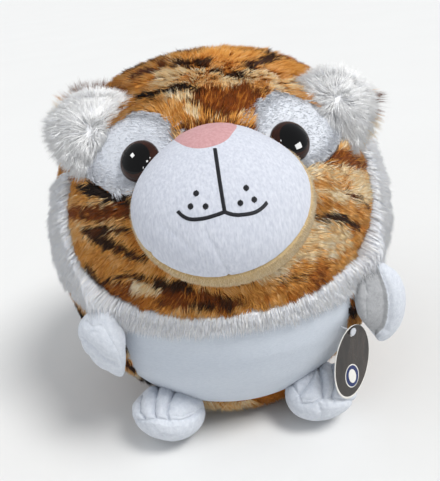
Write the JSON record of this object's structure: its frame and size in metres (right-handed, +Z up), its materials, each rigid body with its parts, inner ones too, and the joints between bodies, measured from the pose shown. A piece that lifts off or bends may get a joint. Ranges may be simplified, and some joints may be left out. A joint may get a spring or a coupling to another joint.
{
  "type": "ball-shaped plush tiger",
  "caption": "Round stuffed tiger that sits on a flat base, with a stuffed muzzle, plastic eyes, folding ears, padded arms and paws, a tail and a swing tag.",
  "frame": {"origin": "on the floor, at the centre of the flat base, under the middle of the ball body", "axes": "+Z up, -Y the way the face looks, +X to the viewer's right; left and right in the names are the viewer's"},
  "size_m": [0.28, 0.3152, 0.297],
  "materials": {
    "tiger_plush": "short pile, printed with stripes",
    "white_fur": "long pile",
    "white_cloth": "velvety, very short pile",
    "beige_plush": "short pile",
    "pink_plush": "velvety, very short pile",
    "filling": "loose fibre",
    "eye_plastic": "polished",
    "washer_plastic": "plain",
    "card": "coated card, glossy",
    "pin_plastic": "clear"
  },
  "bodies": {
    "body": {"body_filling": "filling", "face_panel": "tiger_plush", "belly_panel": "white_cloth", "base_panel": "tiger_plush", "back_panel_left": "tiger_plush", "back_panel_right": "tiger_plush", "ruff_left": "white_fur", "ruff_right": "white_fur", "eye_patch_left": "white_fur", "eye_patch_right": "white_fur", "eye_left": "eye_plastic", "eye_right": "eye_plastic", "eye_washer_left": "washer_plastic", "eye_washer_right": "washer_plastic", "muzzle_filling": "filling", "muzzle_panel": "white_cloth", "muzzle_band": "beige_plush", "nose": "pink_plush", "tag_pin": "pin_plastic"},
    "ear_left": {"ear_left_front": "white_fur", "ear_left_back": "tiger_plush"},
    "ear_right": {"ear_right_front": "white_fur", "ear_right_back": "tiger_plush"},
    "arm_left": {"arm_left": "white_cloth", "arm_left_filling": "filling"},
    "arm_right": {"arm_right": "white_cloth", "arm_right_filling": "filling"},
    "foot_left": {"foot_left_upper": "white_cloth", "foot_left_sole": "white_cloth", "foot_left_filling": "filling"},
    "foot_right": {"foot_right_upper": "white_cloth", "foot_right_sole": "white_cloth", "foot_right_filling": "filling"},
    "tail": {"tail": "tiger_plush", "tail_filling": "filling"},
    "tag": {"hang_tag": "card"}
  },
  "joints": [
    {"name": "ear_left_fold", "type": "hinge", "parent": "body", "child": "ear_left", "pos_m": [-0.07126, -0.06048, 0.25577], "axis": [0.5558, 0.3338, 0.7613], "range_deg": [-15, 20], "stiffness_Nm_per_rad": 0.08},
    {"name": "ear_right_fold", "type": "hinge", "parent": "body", "child": "ear_right", "pos_m": [0.07875, -0.06202, 0.24794], "axis": [0.5572, -0.3151, -0.7683], "range_deg": [-15, 20], "stiffness_Nm_per_rad": 0.08},
    {"name": "arm_left_lift", "type": "hinge", "parent": "body", "child": "arm_left", "pos_m": [-0.09192, -0.10954, 0.143], "axis": [-0.766, 0.6428, 0], "range_deg": [0, 60], "stiffness_Nm_per_rad": 0.1},
    {"name": "arm_right_lift", "type": "hinge", "parent": "body", "child": "arm_right", "pos_m": [0.09987, -0.10234, 0.143], "axis": [-0.7157, -0.6984, 0], "range_deg": [0, 60], "stiffness_Nm_per_rad": 0.1},
    {"name": "foot_left_tip", "type": "hinge", "parent": "body", "child": "foot_left", "pos_m": [-0.05749, -0.07538, 0.0374], "axis": [-0.9135, 0.4067, 0], "range_deg": [0, 14], "stiffness_Nm_per_rad": 0.2},
    {"name": "foot_right_tip", "type": "hinge", "parent": "body", "child": "foot_right", "pos_m": [0.05749, -0.07538, 0.0374], "axis": [-0.9135, -0.4067, 0], "range_deg": [0, 14], "stiffness_Nm_per_rad": 0.2},
    {"name": "tail_lift", "type": "hinge", "parent": "body", "child": "tail", "pos_m": [0, 0.13657, 0.12], "axis": [1, 0, 0], "range_deg": [0, 70]},
    {"name": "tag_swing", "type": "hinge", "parent": "body", "child": "tag", "pos_m": [0.08549, -0.11141, 0.097], "axis": [0.6088, -0.7934, 0], "range_deg": [-40, 10]}
  ]
}
